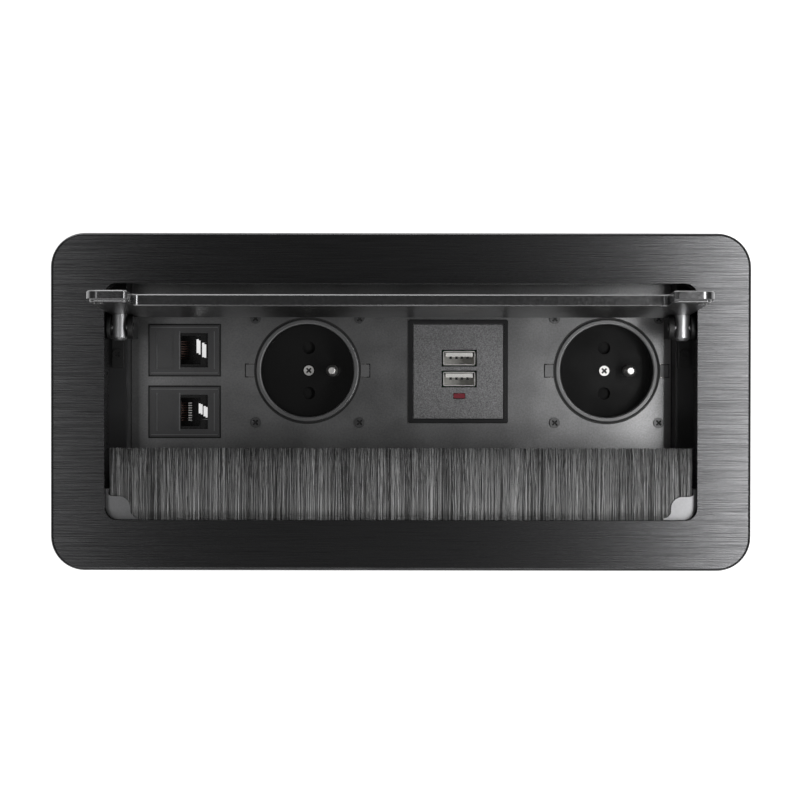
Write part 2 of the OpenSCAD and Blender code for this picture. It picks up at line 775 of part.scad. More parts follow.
module usb_rear_case() {
    w = face_w + 2 * skirt_t;
    d = face_d + 2 * skirt_t;
    top = z_panel - skirt_depth;
    color([0.06, 0.06, 0.06]) translate([usb_x, usb_y, 0]) {
        difference() {
            translate([-w / 2, -d / 2, z_usb]) cube([w, d, top - z_usb]);
            translate([-w / 2 + sheet_t, -d / 2 + sheet_t, z_usb + sheet_t])
                cube([w - 2 * sheet_t, d - 2 * sheet_t, top]);
        }
        for (sx = [-1, 1], sy = [-1, 1])
            translate([sx * (w / 2 - 3.5), sy * (d / 2 - 3.5), z_usb + sheet_t - 0.1])
                cylinder(r = 2, h = z_board - z_usb - sheet_t + 0.1);
    }
}

// ---- Lid and hinge ----

// Turns a piece drawn on the closed lid, with the hinge axis at its origin, to the open lid
module on_lid() {
    translate([0, pivot_y, pivot_z]) rotate([-open_angle, 0, 0]) children();
}

lid_tail = pivot_in - 1.3;
lid_half = half_w - lid_gap;
ear_tip = -(pivot_y + half_d) + lid_gap;
free_edge = ear_tip + ear_reach;
ear_in = lid_half - ear_w;

// Outline of the lid, inset at its ends and ear tips, with an S curve at each ear
module lid_outline(inset, tail) {
    tip_r = 2;
    difference() {
        union() {
            translate([-lid_half + inset, free_edge]) square([2 * (lid_half - inset), tail - free_edge]);
            for (s = [-1, 1]) {
                left = s > 0 ? ear_in : -lid_half + inset;
                width = ear_w - inset;
                translate([left, ear_tip + inset + tip_r]) square([width, ear_reach]);
                translate([left + tip_r, ear_tip + inset]) square([width - 2 * tip_r, ear_reach]);
                for (x = [left + tip_r, left + width - tip_r])
                    translate([x, ear_tip + inset + tip_r]) circle(tip_r);
                translate([s > 0 ? ear_in - ear_curve : -ear_in, free_edge - ear_curve])
                    square([ear_curve, ear_curve]);
            }
        }
        for (s = [-1, 1]) translate([s * (ear_in - ear_curve), free_edge - ear_curve]) circle(ear_curve);
    }
}

// The opening less its gap, with fuller corners behind the hinge, where the tail swings down
module lid_plan() {
    tail_r = opening_r + 4;
    w = opening_w - 2 * lid_gap;
    d = opening_d - 2 * lid_gap;
    translate([0, -pivot_y]) {
        intersection() {
            rounded(w, d, opening_r - lid_gap + 0.2);
            translate([-half_w, -half_d]) square([opening_w, half_d]);
        }
        intersection() {
            rounded(w, d + 2 * (lid_tail - pivot_in + lid_gap), tail_r);
            translate([-half_w, -0.1]) square([opening_w, half_d]);
        }
    }
}

module lid_panel() {
    color([0.05, 0.05, 0.05]) on_lid() difference() {
        intersection() {
            translate([0, 0, pivot_drop - 1]) linear_extrude(lid_t + 2) lid_plan();
            union() {
                translate([0, 0, pivot_drop + rebate_t]) linear_extrude(lid_t - rebate_t)
                    lid_outline(0, lid_tail - lid_t);
                translate([0, 0, pivot_drop]) linear_extrude(rebate_t) lid_outline(rebate_in, lid_tail - lid_t);
                intersection() {
                    translate([-lid_half, lid_tail - lid_t, pivot_drop]) along_x(lid_t, 2 * lid_half);
                    translate([-lid_half, lid_tail - lid_t, pivot_drop]) cube([2 * lid_half, lid_t, lid_t]);
                }
            }
        }
        for (s = [-1, 1]) translate([s * post_x, 0, pivot_drop - 1]) cylinder(r = 1.5 + pin_gap, h = 3.2);
    }
}

module hinge_post(side) {
    foot = -4.3;
    cone = 1;
    groove = 0.2;
    color([0.85, 0.85, 0.87]) on_lid() translate([side * post_x, 0, 0]) difference() {
        union() {
            translate([0, 0, foot]) cylinder(d = post_d, h = pivot_drop - foot);
            translate([0, 0, foot - cone]) cylinder(d1 = post_d - 2, d2 = post_d, h = cone);
            translate([0, 0, pivot_drop - 0.1]) cylinder(r = 1.5, h = 2.1);
        }
        translate([-post_d, 0, 0]) along_x(pin_d / 2 + pin_gap, 2 * post_d);
        difference() {
            translate([0, 0, -groove / 2]) cylinder(r = post_d, h = groove);
            translate([0, 0, -groove]) cylinder(r = post_d / 2 - 0.15, h = 2 * groove);
        }
    }
}

module hinge_post_left() { hinge_post(-1); }
module hinge_post_right() { hinge_post(1); }

bumper_h = z_top - lid_t - z_corner - corner_t - pin_gap;

module lid_bumpers() {
    color([0.5, 0.5, 0.5]) on_lid() for (s = [-1, 1])
        translate([s * (lid_half - 4.6), ear_tip + 4.6, pivot_drop - bumper_h]) cylinder(r = 1.8, h = bumper_h);
}

module hinge_screw_place(side) {
    at_end(side) translate([foot_screw_x, pivot_y - cheek_front - foot_reach / 2, z_ledge + base_t]) children();
}

// A bent steel fork on the ledge: two cheeks on a base whose foot runs forward to its screw
module cheek(x, t) {
    translate([x, pivot_y, pivot_z]) rotate([0, 90, 0]) rotate([0, 0, 90]) linear_extrude(t) {
        circle(cheek_r);
        translate([-cheek_r, z_ledge - pivot_z]) square([cheek_r + cheek_back, pivot_z - z_ledge]);
    }
}

module hinge_bracket(side) {
    outer = half_w - loose_gap;
    color([0.07, 0.07, 0.07]) at_end(side) difference() {
        union() {
            cheek(inner_cheek - cheek_t, cheek_t);
            cheek(outer_cheek, outer - outer_cheek);
            block([inner_cheek - cheek_t, pivot_y - cheek_r, z_ledge], [outer, pivot_y + cheek_back, z_ledge + base_t]);
            block([half_w - panel_step + 1, pivot_y - cheek_front - foot_reach, z_ledge],
                [outer, pivot_y - cheek_r, z_ledge + base_t]);
            block([inner_cheek - 0.5, pivot_y - 3, z_ledge], [outer_cheek + 0.5, pivot_y, pivot_z - 8.5]);
        }
        translate([inner_cheek - cheek_t - 1, pivot_y, pivot_z]) along_x(pin_d / 2 + 0.02, 20);
        translate([foot_screw_x, pivot_y - cheek_front - foot_reach / 2, z_ledge - 1])
            cylinder(r = small_r + screw_gap, h = base_t + 2);
    }
}

module hinge_bracket_left() { hinge_bracket(-1); }
module hinge_bracket_right() { hinge_bracket(1); }

module hinge_pins() {
    low = inner_cheek - cheek_t - 0.3;
    color([0.75, 0.75, 0.77]) for (s = [-1, 1]) at_end(s)
        translate([low, pivot_y, pivot_z]) along_x(pin_d / 2, half_w - loose_gap - low);
}

module hinge_washers() {
    t = cheek_gap - 0.15;
    color([0.85, 0.85, 0.82]) for (s = [-1, 1], x = [inner_cheek + 0.05, outer_cheek - 0.05 - t])
        at_end(s) translate([x, pivot_y, pivot_z]) difference() {
            along_x(2.6, t);
            translate([-1, 0, 0]) along_x(pin_d / 2 + pin_gap, t + 2);
        }
}

module hinge_screws() {
    color([0.15, 0.15, 0.15]) for (s = [-1, 1])
        hinge_screw_place(s) pan_screw(small_r, base_t + sheet_t + 2, 1.9, small_head_h);
}

// Rubber pads in front of the lid's tail, which it leans on when it stands open
module lid_stops() {
    pad = 4;
    color([0.05, 0.05, 0.05]) for (s = [-1, 1]) at_end(s) on_lid()
        translate([inner_cheek + 0.6, 9, pivot_drop - 0.05 - pad]) cube([outer_cheek - inner_cheek - 1.2, 5.5, pad]);
}

// ---- Desk clamps ----

module clamp_screw_places(side) {
    for (z = [arm_z - 10, arm_z + 12])
        at_end(side) translate([low_half_w + sheet_t, 0, z]) rotate([0, 90, 0]) children();
}

module clamp_bracket(side) {
    wall = low_half_w + sheet_t;
    half = 9;
    color([0.6, 0.6, 0.62]) at_end(side) difference() {
        union() {
            block([wall, -half, arm_z - 16], [wall + clamp_t, half, arm_z + 18]);
            block([wall, -half, arm_z], [jack_x + 6, half, arm_z + clamp_t]);
        }
        translate([jack_x, 0, arm_z - 1]) cylinder(r = jack_d / 2 + pin_gap, h = clamp_t + 2);
        for (z = [arm_z - 10, arm_z + 12]) translate([wall - 1, 0, z])
            along_x(m3_r + screw_gap, clamp_t + 2);
    }
}

module clamp_bracket_left() { clamp_bracket(-1); }
module clamp_bracket_right() { clamp_bracket(1); }

module clamp_jack(side) {
    knob_top = arm_z - jack_travel - 1;
    color([0.7, 0.7, 0.72]) at_end(side) translate([jack_x, 0, 0]) {
        translate([0, 0, z_jaw - jaw_t]) cylinder(r = jaw_r, h = jaw_t);
        translate([0, 0, knob_top - 1]) cylinder(r = jack_d / 2, h = z_jaw - jaw_t - knob_top + 1.5);
        translate([0, 0, knob_top - knob_h]) cylinder(r = knob_r, h = knob_h);
    }
}

module clamp_jack_left() { clamp_jack(-1); }
module clamp_jack_right() { clamp_jack(1); }

// ---- Mains inlet and wiring ----

module mains_gland() {
    outside = tray_rear + sheet_t;
    color([0.05, 0.05, 0.05]) translate([gland_x, 0, gland_z]) difference() {
        union() {
            translate([0, tray_rear - 6, 0]) along_y(gland_r, sheet_t + 6.5);
            translate([0, outside, 0]) along_y(gland_r + 2, 3);
            translate([0, outside + 2.9, 0]) along_y(gland_r - 1, 9);
        }
        translate([0, tray_rear - 7, 0]) along_y(gland_bore / 2, 30);
    }
}

module gland_nut() {
    color([0.05, 0.05, 0.05]) translate([gland_x, tray_rear - 4, gland_z]) rotate([-90, 0, 0]) difference() {
        cylinder(r = gland_r + 3, h = 4, $fn = 6);
        translate([0, 0, -1]) cylinder(r = gland_r + pin_gap, h = 6);
    }
}

module terminal_block() {
    color([0.85, 0.85, 0.8]) difference() {
        block([block_x - 8, lane_y - 10, sheet_t + 0.05], [block_x + 8, lane_y + 3, 11.5]);
        for (i = [-1:1]) translate([block_x + i * 5, lane_y + 1, 8]) cylinder(r = 1.6, h = 5);
    }
}

// A wire stretch between two points that differ along one axis
module stretch(a, b) {
    d = b - a;
    len = norm(d);
    translate(a) rotate(abs(d[2]) > 0 ? [d[2] > 0 ? 0 : 180, 0, 0] : abs(d[0]) > 0 ? [0, sign(d[0]) * 90, 0] :
        [-sign(d[1]) * 90, 0, 0]) translate([0, 0, -wire_r / 2]) cylinder(r = wire_r, h = len + wire_r, $fn = 8);
}

// A lane along the rear, and from it a branch and a riser to each place
module wire(z, places) {
    start = block_x + 8.05 + wire_r / 2;
    far = max([for (p = places) p[0]]);
    stretch([start, lane_y, z], [far, lane_y, z]);
    for (p = places) {
        stretch([p[0], lane_y, z], [p[0], p[1], z]);
        stretch([p[0], p[1], z], [p[0], p[1], p[2] - wire_r / 2 - 0.05]);
    }
}

module wires_live_neutral() {
    side = pin_pitch / 2;
    color([0.35, 0.2, 0.1]) wire(lane_z[0], [[left_x - 8, socket_y + side, z_case],
        [right_x - 8, socket_y + side, z_case], [usb_x - 6, usb_y + 8, z_usb]]);
    color([0.15, 0.3, 0.6]) wire(lane_z[1], [[left_x - 3, socket_y - side, z_case],
        [right_x - 3, socket_y - side, z_case], [usb_x + 6, usb_y, z_usb]]);
}

module wire_earth() {
    color([0.4, 0.6, 0.2]) wire(lane_z[2], [[left_x + 6, socket_y, z_case], [right_x + 6, socket_y, z_case]]);
}

module data_grommet() {
    color([0.05, 0.05, 0.05]) translate([grommet_x, 0, gland_z]) difference() {
        union() {
            translate([0, tray_rear - 1.5, 0]) along_y(grommet_r + 1.5, sheet_t + 3);
            translate([0, tray_rear - 1.5, 0]) along_y(grommet_r + 3, 1.5 - seat_gap);
            translate([0, tray_rear + sheet_t + seat_gap, 0]) along_y(grommet_r + 3, 1.5);
        }
        translate([0, tray_rear - 3, 0]) along_y(grommet_r, 10);
    }
}

flange_frame();
tray();
base_cover();
base_cover_screws();
frame_screws();
brush_holder();
brush_bristles();
corner_plate_left();
corner_plate_right();
corner_plate_screws();
socket_panel();
panel_screws();
socket_left_cup();
socket_right_cup();
socket_left_rear_case();
socket_right_rear_case();
socket_left_earth_pin();
socket_right_earth_pin();
socket_left_contacts();
socket_right_contacts();
socket_left_shutter();
socket_right_shutter();
socket_left_yoke();
socket_right_yoke();
socket_fixing_screws();
socket_centre_screws();
data_upper_bezel();
data_lower_bezel();
data_upper_jack();
data_lower_jack();
data_upper_contacts();
data_lower_contacts();
usb_frame();
usb_face();
usb_upper_shell();
usb_lower_shell();
usb_tongues();
usb_indicator();
usb_board();
usb_rear_case();
lid_panel();
hinge_post_left();
hinge_post_right();
lid_bumpers();
hinge_bracket_left();
hinge_bracket_right();
hinge_pins();
hinge_washers();
hinge_screws();
lid_stops();
clamp_bracket_left();
clamp_bracket_right();
clamp_jack_left();
clamp_jack_right();
mains_gland();
gland_nut();
terminal_block();
wires_live_neutral();
wire_earth();
data_grommet();
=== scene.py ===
"""Looks for a recessed desk power box with a flip lid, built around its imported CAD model."""
import json
import math
import random

import bmesh
import bpy
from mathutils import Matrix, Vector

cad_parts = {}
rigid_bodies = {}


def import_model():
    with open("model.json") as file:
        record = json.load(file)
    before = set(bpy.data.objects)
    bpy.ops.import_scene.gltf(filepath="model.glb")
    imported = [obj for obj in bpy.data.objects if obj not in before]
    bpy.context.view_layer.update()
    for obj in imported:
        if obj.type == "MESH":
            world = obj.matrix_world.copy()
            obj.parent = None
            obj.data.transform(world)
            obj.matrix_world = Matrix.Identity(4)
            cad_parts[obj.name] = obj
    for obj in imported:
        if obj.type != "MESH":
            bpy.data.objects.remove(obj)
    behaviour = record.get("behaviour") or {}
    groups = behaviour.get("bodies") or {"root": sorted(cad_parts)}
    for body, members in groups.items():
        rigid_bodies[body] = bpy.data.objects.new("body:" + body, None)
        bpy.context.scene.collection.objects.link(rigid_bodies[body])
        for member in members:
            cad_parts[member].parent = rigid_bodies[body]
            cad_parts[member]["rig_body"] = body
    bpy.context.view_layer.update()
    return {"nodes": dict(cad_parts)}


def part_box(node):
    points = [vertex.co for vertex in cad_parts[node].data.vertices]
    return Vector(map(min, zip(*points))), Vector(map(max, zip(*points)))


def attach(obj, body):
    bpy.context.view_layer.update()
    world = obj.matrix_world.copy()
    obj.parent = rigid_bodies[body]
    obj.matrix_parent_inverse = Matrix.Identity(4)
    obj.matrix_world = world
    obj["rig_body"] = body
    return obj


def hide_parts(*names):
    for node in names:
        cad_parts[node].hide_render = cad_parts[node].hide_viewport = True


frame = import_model()
MM = 0.001
LEVELS = ("upper", "lower")

# ---------------------------------------------------------------- levels and places from the frame

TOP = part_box("flange_frame")[1].z
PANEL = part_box("socket_panel")[1].z


def middle(node):
    low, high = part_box(node)
    return (low + high) / 2


# ---------------------------------------------------------------- finishes


class Signal:
    """A shader socket that takes part in plain arithmetic."""

    def __init__(self, finish, socket):
        self.finish = finish
        self.socket = socket

    def combined(self, operation, other):
        return self.finish.node("ShaderNodeMath", {"operation": operation}, {0: self, 1: other})

    def __add__(self, other):
        return self.combined("ADD", other)

    def __mul__(self, other):
        return self.combined("MULTIPLY", other)


class Finish:
    """A material: a principled shader and the nodes that feed it."""

    def __init__(self, name, **values):
        self.material = bpy.data.materials.new(name)
        self.material.use_nodes = True
        self.tree = self.material.node_tree
        self.shader = self.tree.nodes["Principled BSDF"]
        for socket, value in values.items():
            self.put(self.shader.inputs[socket.replace("_", " ")], value)

    def put(self, socket, value):
        if isinstance(value, Signal):
            self.tree.links.new(value.socket, socket)
        elif isinstance(value, (tuple, list)) and len(value) == 3 and socket.type == "RGBA":
            socket.default_value = (*value, 1.0)
        else:
            socket.default_value = value

    def node(self, kind, settings=None, inputs=None, output=0):
        made = self.tree.nodes.new(kind)
        for name, value in (settings or {}).items():
            setattr(made, name, value)
        for key, value in (inputs or {}).items():
            self.put(made.inputs[key], value)
        return Signal(self, made.outputs[output])

    def place(self, scale=(1.0, 1.0, 1.0)):
        """Object coordinates, stretched: a scale of n makes n cells to the metre of a unit pattern."""
        point = self.node("ShaderNodeTexCoord", output=3)
        return self.node("ShaderNodeMapping", {}, {"Vector": point, "Scale": scale})

    def noise(self, where, scale, detail, roughness):
        inputs = {"Vector": where, "Scale": scale, "Detail": detail, "Roughness": roughness}
        return self.node("ShaderNodeTexNoise", {}, inputs)

    def ramp(self, value, low, high, from_shade, to_shade):
        """Goes from one value to another as the input goes from low to high."""
        return self.node("ShaderNodeMapRange", {}, {0: value, 1: low, 2: high, 3: from_shade, 4: to_shade})

    def tint(self, colour, amount):
        """A colour made lighter or darker by a signal."""
        return self.node("ShaderNodeVectorMath", {"operation": "SCALE"}, {0: colour, "Scale": amount})

    def feed(self, **signals):
        for socket, value in signals.items():
            self.put(self.shader.inputs[socket.replace("_", " ")], value)
        return self

    def bump(self, height, strength, distance):
        inputs = {"Height": height, "Strength": strength, "Distance": distance}
        self.put(self.shader.inputs["Normal"], self.node("ShaderNodeBump", {}, inputs))
        return self


def brushed(name, colour, roughness, across, contrast, depth=0.25):
    """Anodised metal brushed along X: streaks that are long in X and fine across it."""
    finish = Finish(name, Metallic=1.0)
    fine = finish.noise(finish.place((55, across, across)), 1.0, 3.0, 0.7)
    broad = finish.noise(finish.place((18, across * 0.35, across * 0.35)), 1.0, 2.0, 0.5)
    streak = fine * 0.82 + broad * 0.18
    shade = finish.ramp(streak, 0.3, 0.7, 1 - contrast, 1 + contrast)
    finish.feed(
        Base_Color=finish.tint(colour, shade),
        Roughness=finish.ramp(streak, 0.3, 0.7, roughness + 0.06, roughness - 0.06),
    )
    return finish.bump(streak, depth, 0.0001).material


def moulded(name, colour, roughness, grain=2500, depth=0.15, speckle=0.12, metallic=0.0):
    """Plastic or paint with a fine even texture."""
    finish = Finish(name, Metallic=metallic)
    texture = finish.noise(finish.place(), grain, 3.0, 0.6)
    cloud = finish.noise(finish.place(), 60, 2.0, 0.5)
    shade = finish.ramp(texture, 0.3, 0.7, 1 - speckle, 1 + speckle)
    shade = shade * finish.ramp(cloud, 0.3, 0.7, 0.95, 1.05)
    finish.feed(
        Base_Color=finish.tint(colour, shade),
        Roughness=finish.ramp(cloud, 0.3, 0.7, roughness - 0.03, roughness + 0.03),
    )
    return finish.bump(texture, depth, 0.0001).material


def plated(name, colour, roughness, grain=400, depth=0.05):
    """Plated or polished metal with faint cloudy wear."""
    finish = Finish(name, Metallic=1.0)
    cloud = finish.noise(finish.place(), grain, 4.0, 0.6)
    finish.feed(
        Base_Color=finish.tint(colour, finish.ramp(cloud, 0.3, 0.7, 0.92, 1.06)),
        Roughness=finish.ramp(cloud, 0.3, 0.7, roughness - 0.04, roughness + 0.06),
    )
    return finish.bump(cloud, depth, 0.0001).material


anodised_plate = brushed("anodised_plate", (0.078, 0.078, 0.08), 0.27, 4200, 0.55)
anodised_lid = brushed("anodised_lid", (0.1, 0.1, 0.102), 0.32, 2600, 0.3)
anodised_inside = brushed("anodised_inside", (0.05, 0.05, 0.052), 0.42, 1500, 0.3)
powder_panel = moulded("powder_panel", (0.29, 0.29, 0.293), 0.31, 1400, 0.3, 0.12, metallic=1.0)
powder_box = moulded("powder_box", (0.02, 0.02, 0.021), 0.5, 2200, 0.3)
gloss_socket = moulded("gloss_socket", (0.012, 0.012, 0.012), 0.15, 900, 0.03, 0.05)
matt_shutter = moulded("matt_shutter", (0.004, 0.004, 0.004), 0.8)
satin_rim = moulded("satin_rim", (0.2, 0.2, 0.202), 0.4, 2500, 0.2, 0.1, metallic=0.7)
black_bezel = moulded("black_bezel", (0.12, 0.12, 0.122), 0.36, 3500, 0.3, metallic=0.7)
black_frame = moulded("black_frame", (0.014, 0.014, 0.015), 0.3, 3500, 0.1)
grey_face = moulded("grey_face", (0.2, 0.2, 0.203), 0.42, 1900, 0.9, 0.45, metallic=0.7)
gloss_jack = moulded("gloss_jack", (0.014, 0.014, 0.014), 0.25, 900, 0.03)
grey_case = moulded("grey_case", (0.5, 0.5, 0.47), 0.5)
white_tongue = moulded("white_tongue", (0.9, 0.89, 0.86), 0.35)
polished_edge = plated("polished_edge", (0.2, 0.2, 0.203), 0.2, 900, 0.0)
soft_rubber = moulded("soft_rubber", (0.018, 0.018, 0.018), 0.65, 1500, 0.4)
clear_bumper = moulded("clear_bumper", (0.1, 0.1, 0.1), 0.2, 900, 0.05)
green_board = moulded("green_board", (0.02, 0.12, 0.04), 0.35)
black_screw = plated("black_screw", (0.17, 0.17, 0.172), 0.34, 900)
# Flat black for black parts, and also painted shade: on the plate's sides, in the screw recesses and in the
# thin gaps round the bezels and sockets.
black_and_painted_shade = moulded("black_and_painted_shade", (0.012, 0.012, 0.012), 0.5)
bright_chamfer = plated("bright_chamfer", (0.2, 0.2, 0.202), 0.3, 900, 0.0)
zinc_screw = plated("zinc_screw", (0.62, 0.61, 0.58), 0.24, 900)
nickel_shell = moulded("nickel_shell", (0.93, 0.92, 0.89), 0.32, 900, 0.05, 0.08, metallic=0.15)
nickel_pin = plated("nickel_pin", (0.9, 0.89, 0.87), 0.42, 500)
chrome_post = plated("chrome_post", (0.6, 0.6, 0.61), 0.42, 250)
satin_plate = plated("satin_plate", (0.26, 0.26, 0.265), 0.36, 1200, 0.1)
gold_contact = plated("gold_contact", (0.6, 0.47, 0.28), 0.25, 900)
dull_spring = plated("dull_spring", (0.16, 0.08, 0.06), 0.4, 900)
# Painted reflection: a pale finish that glows, standing in for the bright light seen in the data jacks'
# latch slots.
glowing_slot_reflection = moulded("glowing_slot_reflection", (0.9, 0.9, 0.9), 0.6)
slot_glow = glowing_slot_reflection.node_tree.nodes["Principled BSDF"].inputs
slot_glow["Emission Color"].default_value = (1, 1, 1, 1)
slot_glow["Emission Strength"].default_value = 0.7
blue_cover = moulded("blue_cover", (0.05, 0.1, 0.3), 0.4)
green_cover = moulded("green_cover", (0.2, 0.4, 0.05), 0.4)
indicator_red = moulded("indicator_red", (0.26, 0.03, 0.045), 0.3, 900, 0.05)

# ---------------------------------------------------------------- dressing the CAD nodes

# Faces that turn further than this from each other keep a sharp edge between them.
SHARP = math.radians(35)
# The least turn, in radians, at which an edge is a corner of its piece.
CORNER = 0.6
# Heights nearer than this, in metres, are the same.
NEAR = 1e-5


def outer_top(edge):
    """An edge along the outside of the plate's top."""
    ends = [corner.co for corner in edge.verts]
    centre = (ends[0] + ends[1]) / 2
    outward = any(abs(face.normal.z) < 0.1 and face.normal.dot(centre) > 0.01 for face in edge.link_faces)
    return min(end.z for end in ends) > TOP - NEAR and outward


def dressed(node, material, width=0.25, segments=3, soft=None, soft_width=0, join_faces=True,
            edge_slot=-1, outline=False):
    """A copy of a CAD node with its corners welded and its edges rounded, which stands for the node.

    soft picks edges that are rounded more than the others, by soft_width. join_faces turns the triangles
    of each flat side into one face. edge_slot is the place of the edges' finish, where -1 keeps that of the
    sides. With outline, only the edges round the two broadest faces are cut.
    """
    source = frame["nodes"][node]
    work = bmesh.new()
    work.from_mesh(source.data)
    bmesh.ops.remove_doubles(work, verts=work.verts, dist=2e-6)
    if join_faces:
        bmesh.ops.dissolve_limit(work, angle_limit=math.radians(0.6), verts=work.verts, edges=work.edges)
    if soft:
        chosen = [edge for edge in work.edges if edge.calc_face_angle(0) > CORNER and soft(edge)]
        bmesh.ops.bevel(work, geom=chosen, offset=soft_width * MM, offset_type="OFFSET", segments=6,
                        profile=0.5, affect="EDGES", material=-1)
    if outline:
        weight = work.edges.layers.float.new("bevel_weight_edge")
        for face in sorted(work.faces, key=lambda face: face.calc_area())[-2:]:
            for edge in face.edges:
                edge[weight] = 1.0 if edge.calc_face_angle(0) > CORNER else 0.0
    mesh = bpy.data.meshes.new(node + "_dressed")
    work.to_mesh(mesh)
    work.free()
    mesh.materials.clear()
    mesh.materials.append(material)
    for face in mesh.polygons:
        face.use_smooth = True
    mesh.set_sharp_from_angle(angle=SHARP)
    piece = bpy.data.objects.new(mesh.name, mesh)
    bpy.context.scene.collection.objects.link(piece)
    if width:
        bevel = piece.modifiers.new("rounded_edges", "BEVEL")
        bevel.width = width * MM
        bevel.segments = segments
        bevel.limit_method = "WEIGHT" if outline else "ANGLE"
        bevel.angle_limit = SHARP
        bevel.miter_outer = "MITER_SHARP" if outline else "MITER_ARC"
        bevel.material = edge_slot
        bevel.mark_sharp = outline
        bevel.use_clamp_overlap = not outline
        even = piece.modifiers.new("even_shading", "WEIGHTED_NORMAL")
        even.weight = 80
        even.keep_sharp = True
    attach(piece, source["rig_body"])
    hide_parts(node)
    return piece


def paint(piece, material, choose):
    """Gives the chosen faces of a dressed piece another finish."""
    piece.data.materials.append(material)
    place = len(piece.data.materials) - 1
    for face in piece.data.polygons:
        if choose(face):
            face.material_index = place


def coat(material, *nodes):
    """Gives CAD nodes a finish and leaves their shape as it is."""
    for node in nodes:
        mesh = frame["nodes"][node].data
        mesh.materials.clear()
        mesh.materials.append(material)


plate = dressed("flange_frame", anodised_plate, 0.3, soft=outer_top, soft_width=1.3)
# Painted shade: the plate's sides, underside and the steep part of its rounded edges are flat black.
paint(plate, black_and_painted_shade, lambda face: face.normal.z < 0.45 and face.center.z > TOP - 0.0032)
lid = dressed("lid_panel", anodised_lid, 0.42, 1, edge_slot=2, outline=True)
paint(lid, polished_edge, lambda face: abs(face.normal.y) < 0.5)
lid.data.materials.append(bright_chamfer)
dressed("socket_panel", powder_panel, 0.15, 2)
for side in ("left", "right"):
    rim_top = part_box(f"socket_{side}_cup")[1].z
    cup = dressed(f"socket_{side}_cup", gloss_socket, 0.12, 2, soft_width=0.7,
                  soft=lambda edge: min(corner.co.z for corner in edge.verts) > rim_top - NEAR)
    paint(cup, satin_rim, lambda face: face.normal.z > 0.25 and face.center.z > PANEL - 0.002)
    dressed(f"corner_plate_{side}", satin_plate, 0.15)
    dressed(f"hinge_post_{side}", chrome_post, 0.12)
    dressed(f"hinge_bracket_{side}", black_and_painted_shade, 0.2)
    dressed(f"socket_{side}_earth_pin", nickel_pin, 0.3)
    coat(matt_shutter, f"socket_{side}_shutter")
    coat(grey_case, f"socket_{side}_rear_case")
    coat(gold_contact, f"socket_{side}_contacts")
    coat(zinc_screw, f"socket_{side}_yoke", f"clamp_bracket_{side}", f"clamp_jack_{side}")
for level in LEVELS:
    dressed(f"data_{level}_bezel", black_bezel, 0.2, 2, join_faces=False)
    coat(gloss_jack, f"data_{level}_jack")
    dressed(f"usb_{level}_shell", nickel_shell, 0.08, 2)
    coat(dull_spring, f"data_{level}_contacts")
dressed("usb_frame", black_frame, 0.25)
dressed("usb_face", grey_face, 0.15)
dressed("usb_tongues", white_tongue, 0.1, 2)
dressed("usb_indicator", indicator_red, 0.15)
for node, finish in (("socket_fixing_screws", black_screw), ("socket_centre_screws", nickel_pin)):
    head_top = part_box(node)[1].z
    screws = dressed(node, finish, 0.12, 2)
    # Painted shade: each head's sides and cross recess, below its top, are flat black.
    paint(screws, black_and_painted_shade, lambda face: face.center.z < head_top - 0.0003)
dressed("hinge_screws", black_and_painted_shade, 0.12, 2)
dressed("corner_plate_screws", black_screw, 0.12, 2)
coat(powder_box, "tray", "base_cover")
coat(anodised_inside, "brush_holder")
coat(black_screw, "frame_screws", "panel_screws", "hinge_pins")
coat(zinc_screw, "base_cover_screws")
coat(soft_rubber, "lid_stops", "mains_gland", "gland_nut", "data_grommet")
coat(clear_bumper, "lid_bumpers")
coat(black_and_painted_shade, "hinge_washers")
coat(green_board, "usb_board")
coat(black_bezel, "usb_rear_case")
coat(grey_case, "terminal_block")
coat(blue_cover, "wires_live_neutral")
coat(green_cover, "wire_earth")


def strand(work, path, radius):
    """One three-sided strand along a path, a quarter thinner at its tip."""
    rings = []
    for step, (x, y, z) in enumerate(path):
        thin = radius * (1 - 0.25 * (step / (len(path) - 1)))
        ring = []
        for corner in range(3):
            angle = 2 * math.pi * corner / 3 + math.pi / 2
            ring.append(work.verts.new((x + thin * math.cos(angle), y, z + thin * math.sin(angle))))
        rings.append(ring)
    faces = []
    for near, far in zip(rings, rings[1:]):
        for corner in range(3):
            after = (corner + 1) % 3
            faces.append(work.faces.new((near[corner], near[after], far[after], far[corner])))
    faces.append(work.faces.new(rings[-1]))
    faces.append(work.faces.new(rings[0][::-1]))
    for face in faces:
        face.smooth = True
    return faces


